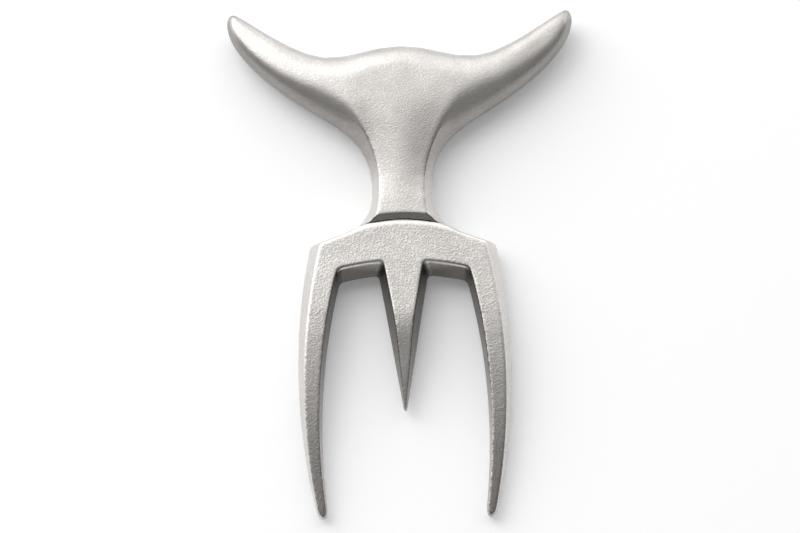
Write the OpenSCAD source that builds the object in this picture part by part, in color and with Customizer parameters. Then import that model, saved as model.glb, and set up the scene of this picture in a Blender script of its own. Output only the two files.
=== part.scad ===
// Meat fork: a bull-horn T-handle seated on a three-tined head.
// The head's tang runs up into the handle and is locked there by two cross pins.
// The fork lies on its back: X is the width, +Y points to the horns and Z is the thickness.

/* [Handle] */
// Span from horn tip to horn tip
horn_span = 128; // [116:1:140]
// Length from the top of the seat to the top of the horn tips
handle_length = 82; // [78:1:92]
// Height of the crown's crest above the top of the seat
crest_height = 68.5; // [64:0.5:72]
// Height of the dips on either side of the crest
dip_height = 64.4; // [61:0.2:66]
// Distance of each dip from the middle of the crown
dip_offset = 27; // [22:1:32]
// Width of the neck at its waist
neck_width = 21.8; // [20:0.2:26]
// Height of the waist above the top of the seat
waist_height = 13; // [11:0.5:16]
// Width of the flared foot where it meets the head
foot_width = 39; // [36:1:42]
// Slope of the foot's outline where it meets the head, in degrees
foot_slope = 45; // [40:1:50]
// Distance from the middle to the elbow, where the neck's flank turns into the horn
elbow_offset = 30; // [27:0.5:33]
// Height of the elbow above the top of the seat
elbow_height = 41.3; // [39:0.2:44]
// Slope of the horn's underside at the elbow, in degrees
elbow_slope = 32.5; // [28:0.5:37]
// Thickness of the neck
neck_thickness = 14; // [13.2:0.2:16]
// Thickness of the handle at the middle of the crown
crown_thickness = 16; // [14.6:0.2:19]
// Thickness of a horn close to its tip
horn_tip_thickness = 10.4; // [9:0.2:12.4]
// How much the neck's front is crowned from its middle to its flanks
neck_crowning = 1; // [0.4:0.1:1.4]
// Height of the handle's parting line above its back
handle_parting = 7; // [6:0.2:8]
// Width of the sloping flank on each side of the neck
flank_width = 2.6; // [2.2:0.1:3.4]
// Width of that flank at the foot
foot_flank = 3.9; // [3.2:0.1:4.6]
// Width over which the crown's edge rounds off
crown_round = 8.4; // [6.4:0.2:9.6]
// Width over which a horn rounds off close to its tip
tip_round = 2.9; // [2.3:0.1:3.6]

/* [Head] */
// Width of the head across the outer tines
head_width = 76.4; // [70:0.2:84]
// Length from the tips of the outer tines to the top of the seat
head_length = 108; // [100:1:118]
// Thickness of the yoke
head_thickness = 13; // [12:0.2:13.2]
// Radius of the arched seat that the handle stands on
seat_radius = 55.8; // [52:0.2:64]
// Slope of the rim where it runs straight to the shoulders, in degrees
rim_slope = 21.5; // [19.5:0.5:24]
// Width of the chamfer along the front of the rim, below the handle
rim_chamfer = 1.8; // [1.4:0.1:2.4]
// Width of that chamfer from the foot's ends to the shoulders
rim_end_chamfer = 0.9; // [0.7:0.1:1.3]
// Height of that chamfer
rim_drop = 0.6; // [0.4:0.1:1]
// Draft of the rim's wall at the shoulders
rim_draft = 2; // [1.5:0.1:2.5]
// Distance from each shoulder's corner to where its rounding ends
shoulder_round = 2.4; // [1.8:0.1:3]
// Radius of the outer edge of an outer tine
outer_edge_radius = 225; // [200:5:270]
// Distance of the widest point below the top of the seat
outer_edge_drop = 53; // [48:1:58]
// Distance between the inner edges of the outer tines where they are furthest apart
tine_gap = 59.3; // [56:0.1:61]
// Radius of the inner edge of an outer tine
inner_edge_radius = 230; // [210:5:270]
// Distance of the inner edge's furthest point below the top of the seat
inner_edge_drop = 77.2; // [71:0.2:83]
// Length over which an outer tine's edges draw together to its tip
tine_tip_length = 4.2; // [3.6:0.1:5]
// Width of the bevel along the outside of the head, at the shoulders
outer_bevel = 4.2; // [3:0.1:4.6]
// Width of that bevel at the outer tines' tips
outer_tip_bevel = 0.5; // [0.4:0.1:0.8]
// Draft of the outer tines' inner walls, at the slots
inner_draft = 1.7; // [1.2:0.1:2.4]
// Draft of those walls at the tips
inner_tip_draft = 0.4; // [0.3:0.1:0.6]
// Height of the head's parting line above its back
head_parting = 6; // [5:0.2:7]
// Distance of the slots' tops below the top of the seat
slot_drop = 19.2; // [17:0.2:22]
// Radius of the arch along the slots' tops
slot_radius = 95; // [80:5:120]
// Draft of the slots' tops at full thickness
slot_draft = 3.8; // [2.8:0.1:4.4]
// Rounding of the slots' corners
slot_round = 1.7; // [1.3:0.1:2.4]
// Length of the middle tine from the top of the seat to its tip
middle_tine_length = 69.4; // [60:0.2:80]
// Width of the middle tine at the slots' tops
middle_tine_width = 18; // [15:0.5:20]
// Width of the middle tine where its tip begins to round
middle_tip_width = 1.4; // [1.3:0.1:2]
// Draft of the middle tine's sides at full thickness
middle_draft = 2.5; // [1.8:0.1:2.8]
// Distance from the top of the seat to where the outer tines begin to thin
outer_taper_start = 29; // [26:1:36]
// Distance from the top of the seat to where the middle tine begins to thin
middle_taper_start = 34; // [30:1:40]
// Height of the outer tines' front at the tip
outer_tip_front = 4.6; // [4.2:0.1:6]
// Height of the outer tines' back at the tip
outer_tip_back = 1.4; // [0.6:0.1:2]
// Height of the middle tine's front at the tip
middle_tip_front = 5.2; // [4.6:0.1:6.4]
// Height of the middle tine's back at the tip
middle_tip_back = 2.6; // [1.4:0.1:3.2]

/* [Joint] */
// Width of the tang
tang_width = 9; // [7:0.5:10]
// Thickness of the tang
tang_thickness = 7; // [6:0.2:7.4]
// Length of the tang above the top of the seat
tang_length = 30; // [28:1:34]
// Clearance all round the tang in its socket
tang_clearance = 0.15; // [0.05:0.05:0.3]
// Gap between the head's seat and the handle's foot
seat_gap = 0.1; // [0.05:0.05:0.3]
// Run of the sloping end of the handle's front face above the seat
groove_run = 1.7; // [1:0.1:2.4]
// Diameter of a cross pin
pin_diameter = 4; // [3:0.5:5]
// Radial clearance of a cross pin in its hole
pin_clearance = 0.02; // [0.01:0.01:0.05]
// Distance of the lower pin above the top of the seat
lower_pin_height = 9; // [7:0.5:11]
// Distance between the two pins
pin_spacing = 12; // [9:0.5:14]
// Depth of the pin holes, drilled from the back
pin_hole_depth = 11.5; // [10.8:0.1:11.8]
// Depth of the pin's end below the back face
pin_recess = 0.3; // [0.1:0.1:0.6]
// Chamfer on both ends of a pin
pin_chamfer = 0.4; // [0.2:0.1:0.6]

/* [Hidden] */
$fn = 64;

steel = "#c9c3bc";
pin_steel = "#a9a6a2";

// The seat's top lies where the whole fork is centred on the origin.
seat_y = (head_length - handle_length) / 2;
// The rim's chamfer begins at this height, and so does the groove above it.
groove_bottom = head_thickness - rim_drop;
// Below the seat the handle's blank runs on by this much before the seat is cut.
blank_depth = 8;
// Cuts run past the surfaces that they open by this much.
overrun = 1;

// Resolution of the curved faces
crown_rows = 36;
crown_columns = 18;
flank_columns = 6;
outline_steps = 90;
rim_steps = 22;
corner_steps = 5;
tine_steps = 16;
tip_steps = 8;
flat_steps = 4;

// Curve helpers
function lerp(a, b, t) = a + (b - a) * t;
function clamp01(t) = min(1, max(0, t));
function ease(from, to, v) = let(t = clamp01((v - from) / (to - from))) t * t * (3 - 2 * t);
function bezier(p, t) = let(s = 1 - t)
    s * s * s * p[0] + 3 * s * s * t * p[1] + 3 * s * t * t * p[2] + t * t * t * p[3];
function corner_curve(a, c, b, t) = (1 - t) * (1 - t) * a + 2 * t * (1 - t) * c + t * t * b;
function along(angle) = [cos(angle), sin(angle)];
function dist_to_segment(p, a, b) = let(ab = b - a, t = clamp01((p - a) * ab / (ab * ab)))
    norm(p - a - t * ab);
function dist_to_path(p, path) =
    min([for (k = [1:len(path) - 1]) dist_to_segment(p, path[k - 1], path[k])]);
function flip_x(p) = [-p[0], p[1]];
function backwards(list) = [for (k = [len(list) - 1:-1:0]) list[k]];

// Where two circles meet, on the side of larger x
function circles_meet(c1, r1, c2, r2) = let(
    line = c2 - c1,
    d = norm(line),
    a = (d * d + r1 * r1 - r2 * r2) / (2 * d),
    h = sqrt(r1 * r1 - a * a),
    u = line / d,
    p = c1 + a * u,
    first = p + h * [-u[1], u[0]],
    second = p - h * [-u[1], u[0]]
) first[0] > second[0] ? first : second;

// Where a line from p along u leaves a circle
function line_meets_circle(p, u, c, r) = let(w = p - c, b = w * u)
    p + u * (-b + sqrt(b * b - w * w + r * r));

// Seat and rim: right half in plan, measured from the top of the seat

// The rim is an arc that runs on straight to the shoulders, and its chamfer narrows on the way.
seat_centre = [0, -seat_radius];
front_rim = seat_radius - rim_chamfer;
end_rim = front_rim + rim_end_chamfer;
narrowing_start = foot_width / 3;
narrowing_end = foot_width / 2 + 1.5;
function arch(c, r, x) = [x, c[1] + sqrt(r * r - x * x)];
function rim_bend(r) = r * sin(rim_slope);
function rim_edge(r, x) = x < rim_bend(r) ? arch(seat_centre, r, x)
    : arch(seat_centre, r, rim_bend(r)) - (x - rim_bend(r)) * [-1, tan(rim_slope)];
function rim_width(x) = lerp(rim_chamfer, rim_end_chamfer, ease(narrowing_start, narrowing_end, x));
function rim_line(x, gap = 0) = rim_edge(front_rim + rim_width(x) + gap, x);
function rim_way(x) = let(angle = x < rim_bend(seat_radius) ? asin(x / seat_radius) : rim_slope)
    [sin(angle), cos(angle)];

// Handle: its outline in plan, right half, measured from the top of the seat

// The horn's tip rounds over between its outermost and its topmost point.
tip_drop = 3.5;
tip_inset = 2.5;
horn_tip = [horn_span / 2, handle_length - tip_drop];
tip_top = [horn_span / 2 - tip_inset, handle_length];
elbow = [elbow_offset, elbow_height];
elbow_way = along(elbow_slope);
waist = [neck_width / 2, waist_height];
crest = [0, crest_height];
dip = [dip_offset, dip_height];

// Share of each row that the flank's columns take up, and how aslant the rows meet the horn
horn_skew = 1.4;
narrowest_share = 0.16;
widest_share = 0.45;

// Places along the flank, as shares of the way from foot to horn tip
waist_share = 0.2;
elbow_share = 0.52;
// Places along the top edge, as shares of the way from crest to horn tip
dip_share = 0.4;
tip_share = 1 - narrowest_share / 2;

// How far the outline holds its direction on leaving each of these points
foot_pull = 14;
waist_pull_down = [0, 10];
waist_pull_up = [0, 15];
elbow_pull_in = 13;
elbow_pull_out = 20;
tip_pull_down = [0, 12];
tip_pull_up = [0, 2];
crest_pull = [12, 0];
dip_pull = [11, 0];
tip_top_pull_in = [5.5, 2.2];
tip_top_pull_out = [1.4, 0.5];

foot_end = rim_line(foot_width / 2);
foot = [foot_end[0] + (foot_end[1] + blank_depth) / tan(foot_slope), -blank_depth];
foot_curve = [foot, foot + foot_pull * along(180 - foot_slope), waist - waist_pull_down, waist];
neck_curve = [waist, waist + waist_pull_up, elbow - elbow_pull_in * elbow_way, elbow];
horn_curve = [elbow, elbow + elbow_pull_out * elbow_way, horn_tip - tip_pull_down, horn_tip];
crest_curve = [crest, crest + crest_pull, dip - crest_pull, dip];
rise_curve = [dip, dip + dip_pull, tip_top - tip_top_pull_in, tip_top];
tip_curve = [tip_top, tip_top + tip_top_pull_out, horn_tip + tip_pull_up, horn_tip];

function flank(v) =
    v < waist_share ? bezier(foot_curve, v / waist_share)
    : v < elbow_share ? bezier(neck_curve, (v - waist_share) / (elbow_share - waist_share))
    : bezier(horn_curve, (v - elbow_share) / (1 - elbow_share));

function top_edge(t) =
    t < dip_share ? bezier(crest_curve, t / dip_share)
    : t < tip_share ? bezier(rise_curve, (t - dip_share) / (tip_share - dip_share))
    : bezier(tip_curve, (t - tip_share) / (1 - tip_share));

// Height of the fan lines where they cross the middle of the handle
middle_bend = 1.6;
function middle_height(v) = lerp(-blank_depth, crest_height, 1 - pow(1 - v, middle_bend));

// A point of the plan: t runs from the middle to the flank, v from the foot to the top edge
function plan_point(t, v) = let(
    side = flank(v),
    top = top_edge(t),
    level = lerp(middle_height(v), side[1], t * t),
    top_level = lerp(crest_height, horn_tip[1], t * t),
    reach = lerp(t, top[0] / horn_tip[0], v * v)
) [side[0] * reach, level + v * v * (top[1] - top_level)];

// The neck's sloping flank widens towards the foot and into the horn's rounded underside, where its
// edge softens.
foot_flare_end = waist_height - 4;
slope_start = waist_height + 10;
slope_end = elbow_height + 14;
edge_fade_start = elbow_height - 12;
edge_fade_end = slope_end;
tip_round_start = dip_offset - 9;
tip_round_end = horn_tip[0];
// How round a horn's section is: 0.5 makes it an ellipse, and more draws it in towards the edge
section_power = 0.66;
function horn_share(y) = ease(slope_start, slope_end, y);
function edge_softness(y) = ease(edge_fade_start, edge_fade_end, y);
function neck_slope(y) = lerp(foot_flank, flank_width, ease(0, foot_flare_end, y));
function slope_width(p) = lerp(neck_slope(p[1]),
    lerp(crown_round, tip_round, ease(tip_round_start, tip_round_end, p[0])), horn_share(p[1]));

// The columns gather in the flank, so that its edge falls on one of them.
function flank_share(v) = let(side = flank(v), skew = lerp(1, horn_skew, horn_share(side[1])))
    min(widest_share, max(narrowest_share, skew * slope_width(side) / side[0]));
function column_place(i, v) = let(f = flank_share(v), face_columns = crown_columns - flank_columns)
    i <= face_columns ? (1 - f) * sin(90 * i / face_columns)
    : 1 - f * (1 - sin(90 * (i - face_columns) / flank_columns));

// How full the section is at a plan point: 0 on the outline, 1 where front and back run level
function fullness(p, flank_path, top_path) = let(
    to_flank = dist_to_path(p, flank_path),
    to_top = dist_to_path(p, top_path),
    inside = to_flank + to_top - norm([to_flank, to_top]),
    share = clamp01(inside / slope_width(p)),
    round_share = pow(1 - (1 - share) * (1 - share), section_power)
) lerp(share, round_share, edge_softness(p[1]));

// The front swells from the neck to the crown, and front and back draw together along the horns.
crown_level = crest_height - 22;
front_thin_start = dip_offset - 8;
back_thin_start = dip_offset + 8;
thin_end = horn_tip[0] + 2;
crowning_start = waist_height - 9;
crowning_end = waist_height + 5;
crowning_width = 0.65 * neck_width;
function crowning(p) = neck_crowning * (1 - cos(180 * clamp01(p[0] / crowning_width))) / 2
    * ease(crowning_start, crowning_end, p[1]) * (1 - horn_share(p[1]));
function thickness_above(p) = let(
    crown = lerp(neck_thickness, crown_thickness, ease(waist_height, crown_level, p[1])) - crowning(p)
)
    lerp(crown - handle_parting, horn_tip_thickness / 2, ease(front_thin_start, thin_end, p[0]));
function thickness_below(p) =
    lerp(handle_parting, horn_tip_thickness / 2, ease(back_thin_start, thin_end, p[0]));

module handle_blank() {
    n = crown_columns;
    m = crown_rows;
    width = 2 * n + 1;
    flank_path = [for (k = [0:outline_steps]) flank(k / outline_steps)];
    top_path = [for (k = [0:outline_steps]) top_edge(k / outline_steps)];
    half = [for (j = [0:m]) let(v = sin(90 * j / m))
        [for (i = [0:n]) let(
            p = plan_point(column_place(i, v), v),
            full = (i == n || j == m) ? 0 : fullness(p, flank_path, top_path)
        ) [
            p[0],
            p[1],
            handle_parting + thickness_above(p) * full,
            handle_parting - thickness_below(p) * full
        ]]];
    front = [for (j = [0:m]) for (i = [-n:n]) let(q = half[j][abs(i)]) [sign(i) * q[0], q[1], q[2]]];
    back = [for (j = [0:m]) for (i = [-n:n]) let(q = half[j][abs(i)]) [sign(i) * q[0], q[1], q[3]]];
    base = len(front);
    function at(j, i) = j * width + i;
    function on_outline(j, i) = j == m || i == 0 || i == width - 1;
    function below(j, i) = on_outline(j, i) ? at(j, i) : base + at(j, i);
    function split(a, b, c, d, left) = left ? [[a, b, c], [a, c, d]] : [[a, b, d], [b, c, d]];
    cells = [for (j = [0:m - 1]) for (i = [0:width - 2]) [j, i]];
    faces = [for (c = cells) let(j = c[0], i = c[1], left = i >= n)
        each concat(
            split(at(j, i), at(j + 1, i), at(j + 1, i + 1), at(j, i + 1), left),
            split(below(j, i), below(j, i + 1), below(j + 1, i + 1), below(j + 1, i), !left))];
    foot_face = concat([for (i = [0:width - 1]) at(0, i)], [for (i = [width - 2:-1:1]) below(0, i)]);
    polyhedron(concat(front, back), concat(faces, [foot_face]), convexity = 6);
}

// The seat's shape, as it is cut into the handle along the rim, opening to a groove at the front
module seat_cut() {
    reach = foot[0] + overrun;
    depth = blank_depth + overrun;
    edge = [for (k = [-rim_steps:rim_steps])
        let(x = reach * k / rim_steps)
            [x, rim_line(abs(x), seat_gap)[1]]];
    translate([0, 0, -overrun])
        linear_extrude(groove_bottom + 2 * overrun)
            polygon(concat([[-reach, -depth]], edge, [[reach, -depth]]));

    r = seat_radius + seat_gap;
    spread = groove_run / (neck_thickness - groove_bottom);
    low = groove_bottom - overrun;
    high = neck_thickness + overrun;
    translate(seat_centre)
        rotate_extrude($fn = 180)
            polygon([
                [0, low],
                [r + spread * (low - groove_bottom), low],
                [r + spread * (high - groove_bottom), high],
                [0, high]
            ]);
}

// Tang: a flat bar with a round end that begins below the seat's top
// A clearance all round it makes its socket.
module tang_bar(clearance, root) {
    half = tang_width / 2;
    end = tang_length - half;
    translate([0, 0, handle_parting - tang_thickness / 2 - clearance])
        linear_extrude(tang_thickness + 2 * clearance)
            union() {
                translate([-half - clearance, -root])
                    square([tang_width + 2 * clearance, end + root]);
                translate([0, end])
                    circle(half + clearance);
            }
}

module pin_holes(top) {
    for (k = [0, 1])
        translate([0, lower_pin_height + k * pin_spacing, -overrun])
            cylinder(d = pin_diameter + 2 * pin_clearance, h = top + overrun);
}

module handle() {
    color(steel)
        translate([0, seat_y, 0])
            difference() {
                handle_blank();
                seat_cut();
                tang_bar(tang_clearance, blank_depth);
                pin_holes(pin_hole_depth);
            }
}

// Head: the right half of its outline in plan, measured from the top of the seat

outer_centre = [head_width / 2 - outer_edge_radius, -outer_edge_drop];
inner_centre = [tine_gap / 2 - inner_edge_radius, -inner_edge_drop];
slot_centre = [0, -slot_drop - slot_radius];
tine_tip_y = -head_length;
tip_start = tine_tip_y + tine_tip_length;

function side_arc(c, r, y) = [c[0] + sqrt(r * r - pow(y - c[1], 2)), y];
function outer_edge(y) = side_arc(outer_centre, outer_edge_radius, y);
function inner_edge(y) = side_arc(inner_centre, inner_edge_radius, y);

middle_tip_start = -middle_tine_length + middle_tip_width / 2;
function middle_edge(y) =
    [lerp(middle_tine_width, middle_tip_width, (y + slot_drop) / (middle_tip_start + slot_drop)) / 2, y];

function rim_meets(r, c, cr) = line_meets_circle(rim_edge(r, rim_bend(r)), along(-rim_slope), c, cr);
shoulder = rim_meets(end_rim + rim_draft, outer_centre, outer_edge_radius);
outer_corner = circles_meet(slot_centre, slot_radius, inner_centre, inner_edge_radius);
middle_line = middle_edge(-slot_drop) - middle_edge(middle_tip_start);
middle_way = middle_line / norm(middle_line);
inner_corner = line_meets_circle(middle_edge(middle_tip_start), middle_way, slot_centre, slot_radius);

// How far a tine has thinned, 0 where it begins and 1 at the tip, easing into a straight wedge
blend_share = 0.3;
function wedge(start, end, y) = let(
    s = clamp01((y - start) / (end - start)),
    scale = 1 - blend_share / 2
) s < blend_share ? s * s / (2 * blend_share * scale) : (s - blend_share / 2) / scale;

// One outline point at the parting line: its place, the front's inset, the share of that inset at the
// groove's height, the heights of front and back, and where the inset doesn't give them the places of
// the front and of the bevel's break at the groove's height
plain_share = (groove_bottom - head_parting) / (head_thickness - head_parting);
bevel_share = 0.87;
back_share = 0.6;
function flat_point(p, inset, share) = [p, inset, share, head_thickness, 0];
function tine_point(p, inset, share, tip_front, tip_back, thinned) =
    [p, inset, share, lerp(head_thickness, tip_front, thinned), lerp(0, tip_back, thinned)];
function outer_tine_point(p, inset, share) =
    tine_point(p, inset, share, outer_tip_front, outer_tip_back,
        wedge(-outer_taper_start, tine_tip_y, p[1]));
function middle_tine_point(p) = let(
    thinned = wedge(-middle_taper_start, -middle_tine_length, p[1]),
    inset = middle_draft * lerp(1, (middle_tip_front - middle_tip_back) / head_thickness, thinned)
) tine_point(p, inset, plain_share, middle_tip_front, middle_tip_back, thinned);
function outer_inset(y) =
    lerp(outer_bevel, outer_tip_bevel, clamp01((y - shoulder[1]) / (tine_tip_y - shoulder[1])));
function inner_inset(y) =
    lerp(inner_draft, inner_tip_draft, clamp01((y - outer_corner[1]) / (tine_tip_y - outer_corner[1])));

tine_levels = [for (k = [0:tine_steps]) lerp(-outer_taper_start, tip_start, k / tine_steps)];
middle_levels = [for (k = [0:tine_steps]) lerp(-middle_taper_start, middle_tip_start, k / tine_steps)];

// The front face keeps a plain corner at each shoulder, where its two edges meet.
front_corner = rim_meets(front_rim, outer_centre, outer_edge_radius - outer_bevel);
corner_margin = 0.4;
rim_end_front = rim_edge(front_rim, front_corner[0] - corner_margin);
rim_end_break = rim_edge(end_rim, rim_end_front[0] + rim_end_chamfer * sin(rim_slope));
rim_end = rim_end_break + rim_draft * rim_way(rim_end_break[0]);
shoulder_foot = outer_edge(shoulder[1] - shoulder_round);
shoulder_foot_front = outer_centre
    + (shoulder_foot - outer_centre) * (1 - outer_inset(shoulder_foot[1]) / outer_edge_radius);
shoulder_foot_break = lerp(shoulder_foot, shoulder_foot_front, bevel_share);
break_corner = rim_meets(end_rim, outer_centre, outer_edge_radius - bevel_share * outer_bevel);

// The slots' corners are as round at the front as at the parting line.
front_slot = slot_radius + slot_draft;
outer_corner_foot = inner_edge(outer_corner[1] - slot_round);
outer_corner_end = arch(slot_centre, slot_radius, outer_corner[0] - slot_round);
inner_corner_end = arch(slot_centre, slot_radius, inner_corner[0] + slot_round);
inner_corner_foot = middle_edge(inner_corner[1] - slot_round);
front_outer_corner = circles_meet(slot_centre, front_slot, inner_centre, inner_edge_radius + inner_draft);
front_middle = middle_edge(-slot_drop) + middle_draft * [-middle_way[1], middle_way[0]];
front_inner_corner = line_meets_circle(front_middle, middle_way, slot_centre, front_slot);
outer_corner_leg = outer_corner - outer_corner_foot;
front_outer_foot = front_outer_corner - slot_round * outer_corner_leg / norm(outer_corner_leg);
front_outer_end = arch(slot_centre, front_slot, front_outer_corner[0] - slot_round);
front_inner_end = arch(slot_centre, front_slot, front_inner_corner[0] + slot_round);
front_inner_foot = front_inner_corner - slot_round * middle_way;

corner_shares = [for (k = [1:corner_steps]) k / (corner_steps + 1)];
// The rim's wall stands upright below the handle and leans out towards the shoulders.
rim_points = [for (k = [0:rim_steps])
    let(
        x = rim_end_break[0] * k / rim_steps,
        p = rim_line(x),
        lean = rim_draft * ease(narrowing_end, rim_end_break[0], x)
    )
        concat(
            flat_point(p + lean * rim_way(x), rim_width(x), 0),
            [p - rim_width(x) * rim_way(x)],
            [p])];
shoulder_points = [for (t = corner_shares)
    concat(
        flat_point(bezier([rim_end, shoulder, shoulder, shoulder_foot], t), outer_bevel, bevel_share),
        [corner_curve(rim_end_front, front_corner, shoulder_foot_front, t)],
        [corner_curve(rim_end_break, break_corner, shoulder_foot_break, t)])];
outer_flat_points = [for (k = [0:flat_steps - 1])
    let(p = outer_edge(lerp(shoulder_foot[1], -outer_taper_start, k / flat_steps)))
        flat_point(p, outer_inset(p[1]), bevel_share)];
outer_tine_points = [for (y = tine_levels) outer_tine_point(outer_edge(y), outer_inset(y), bevel_share)];

// The tip curls in from the outer edge and ends close to the inner one.
outer_tip_pull = 3.2;
inner_tip_pull = 5;
tip_edge_share = 0.75;
tip_outer = outer_edge(tip_start);
tip_inner = inner_edge(tip_start);
function down_arc(p, c) = let(from_centre = p - c) [from_centre[1], -from_centre[0]] / norm(from_centre);
tip_ends = [
    tip_outer,
    tip_outer + outer_tip_pull * down_arc(tip_outer, outer_centre),
    tip_inner + inner_tip_pull * down_arc(tip_inner, inner_centre),
    tip_inner
];
tip_curve_points = [for (k = [1:tip_steps - 1]) bezier(tip_ends, k / tip_steps)];
tip_stretch = tine_tip_length / (tip_start - min([for (p = tip_curve_points) p[1]]));
tip_points = [for (k = [1:tip_steps - 1]) let(
    t = k / tip_steps,
    p = tip_curve_points[k - 1],
    inset = lerp(outer_inset(tip_start), inner_inset(tip_start), t) * lerp(1, tip_edge_share, sin(180 * t))
) outer_tine_point([p[0], tip_start + tip_stretch * (p[1] - tip_start)], inset,
    lerp(bevel_share, plain_share, t))];
inner_tine_points = [for (y = backwards(tine_levels))
    outer_tine_point(inner_edge(y), inner_inset(y), plain_share)];
inner_flat_points = [for (k = [1:flat_steps])
    let(p = inner_edge(lerp(-outer_taper_start, outer_corner_foot[1], k / flat_steps)))
        flat_point(p, inner_inset(p[1]), plain_share)];
outer_corner_points = [for (t = corner_shares)
    concat(
        flat_point(corner_curve(outer_corner_foot, outer_corner, outer_corner_end, t),
            slot_draft, plain_share),
        [corner_curve(front_outer_foot, front_outer_corner, front_outer_end, t)])];
slot_points = [for (k = [0:flat_steps])
    let(t = k / flat_steps)
        concat(
            flat_point(arch(slot_centre, slot_radius, lerp(outer_corner_end[0], inner_corner_end[0], t)),
                slot_draft, plain_share),
            [arch(slot_centre, front_slot, lerp(front_outer_end[0], front_inner_end[0], t))])];
inner_corner_points = [for (t = corner_shares)
    concat(
        flat_point(corner_curve(inner_corner_end, inner_corner, inner_corner_foot, t),
            slot_draft, plain_share),
        [corner_curve(front_inner_end, front_inner_corner, front_inner_foot, t)])];
middle_flat_points = [for (k = [0:flat_steps - 1])
    flat_point(middle_edge(lerp(inner_corner_foot[1], -middle_taper_start, k / flat_steps)),
        middle_draft, plain_share)];
middle_tine_points = [for (y = middle_levels) middle_tine_point(middle_edge(y))];
middle_tip_points = [for (k = [1:tip_steps / 2])
    let(angle = 180 * k / tip_steps, r = middle_tip_width / 2)
        middle_tine_point([cos(angle) * r, middle_tip_start - sin(angle) * r])];

module head_body() {
    half = concat(rim_points, shoulder_points, outer_flat_points, outer_tine_points, tip_points,
        inner_tine_points, inner_flat_points, outer_corner_points, slot_points, inner_corner_points,
        middle_flat_points, middle_tine_points, middle_tip_points);
    n = len(half);
    last = 2 * n - 2;
    mirrored = [for (k = [n - 2:-1:1])
        [for (value = half[k]) is_list(value) ? flip_x(value) : value]];
    outline = concat(half, mirrored);
    function place(k) = outline[(k + last) % last][0];
    function inward(k) = let(t = place(k + 1) - place(k - 1)) [t[1], -t[0]] / norm(t);
    function parting(q) = lerp(q[4], q[3], head_parting / head_thickness);
    function ring_point(k, ring) = let(
        q = outline[k],
        share = [back_share, 0, q[2], 1][ring],
        z = [q[4], parting(q), lerp(parting(q), q[3], plain_share), q[3]][ring],
        p = ring == 2 && len(q) > 6 ? q[6]
            : len(q) > 5 ? lerp(q[0], q[5], share)
            : q[0] + q[1] * share * inward(k)
    ) [p[0], p[1], z];
    points = [for (ring = [0:3]) for (k = [0:last - 1]) ring_point(k, ring)];
    function at(ring, k) = ring * last + (k + last) % last;
    walls = [for (ring = [0:2]) for (k = [0:last - 1])
        each [
            [at(ring, k), at(ring, k + 1), at(ring + 1, k + 1)],
            [at(ring, k), at(ring + 1, k + 1), at(ring + 1, k)]
        ]];

    // The front and the back are each a level yoke and a strip along every tine.
    tine_first = len(rim_points) + len(shoulder_points) + len(outer_flat_points);
    tine_last = tine_first + 2 * tine_steps + tip_steps;
    middle_first = n - len(middle_tine_points) - len(middle_tip_points);
    slot_last = middle_first - len(middle_flat_points) - len(inner_corner_points) - 1;
    slot_first = slot_last - flat_steps;
    strip_cells = tine_steps + tip_steps / 2;
    function span(a, b) = [for (k = [a:(a < b ? 1 : -1):b]) k];
    function opposite(k) = (last - k) % last;
    function strip(a, b) = [for (k = [0:strip_cells - 1])
        each (a + k + 1 == b - k - 1 ? [[a + k, a + k + 1, b - k]]
            : [[a + k, a + k + 1, b - k - 1], [a + k, b - k - 1, b - k]])];
    // Triangles between two rows of points, stepping along both in proportion
    function between(a, b, i = 0, j = 0) = let(steps_a = len(a) - 1, steps_b = len(b) - 1)
        i == steps_a && j == steps_b ? []
        : j == steps_b || (i < steps_a && (i + 1) * steps_b <= (j + 1) * steps_a)
            ? concat([[a[i], a[i + 1], b[j]]], between(a, b, i + 1, j))
            : concat([[a[i], b[j + 1], b[j]]], between(a, b, i, j + 1));
    half_yoke = concat(
        between(span(0, rim_steps), span(slot_last, slot_first)),
        between(span(rim_steps, tine_first - flat_steps), span(slot_first, tine_last + flat_steps)),
        between(span(tine_first - flat_steps, tine_first), span(tine_last + flat_steps, tine_last)),
        [for (k = [slot_last:middle_first - 1]) [0, k, k + 1]],
        strip(tine_first, tine_last));
    other_half = [for (f = half_yoke) [for (k = backwards(f)) opposite(k)]];
    caps = concat(half_yoke, other_half, [[0, middle_first, opposite(middle_first)]],
        strip(middle_first, opposite(middle_first)));
    front_faces = [for (f = caps) [for (k = f) at(3, k)]];
    back_faces = [for (f = caps) [for (k = backwards(f)) at(0, k)]];
    polyhedron(points, concat(walls, front_faces, back_faces), convexity = 8);
}

module fork_head() {
    tang_root = slot_drop / 2;
    color(steel)
        translate([0, seat_y, 0])
            difference() {
                union() {
                    head_body();
                    tang_bar(0, tang_root);
                }
                pin_holes(pin_hole_depth);
            }
}

// Cross pins: two plain dowels, chamfered at both ends
module cross_pin() {
    r = pin_diameter / 2;
    top = pin_hole_depth - pin_recess;
    rotate_extrude()
        polygon([
            [0, pin_recess],
            [r - pin_chamfer, pin_recess],
            [r, pin_recess + pin_chamfer],
            [r, top - pin_chamfer],
            [r - pin_chamfer, top],
            [0, top]
        ]);
}

module tang_pins() {
    color(pin_steel)
        for (k = [0, 1])
            translate([0, seat_y + lower_pin_height + k * pin_spacing, 0])
                cross_pin();
}

handle();
fork_head();
tang_pins();
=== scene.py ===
import math

import bmesh
import bpy
import numpy as np
from bpy.props import FloatProperty, FloatVectorProperty, IntProperty, PointerProperty
from mathutils import Matrix, Vector


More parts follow.
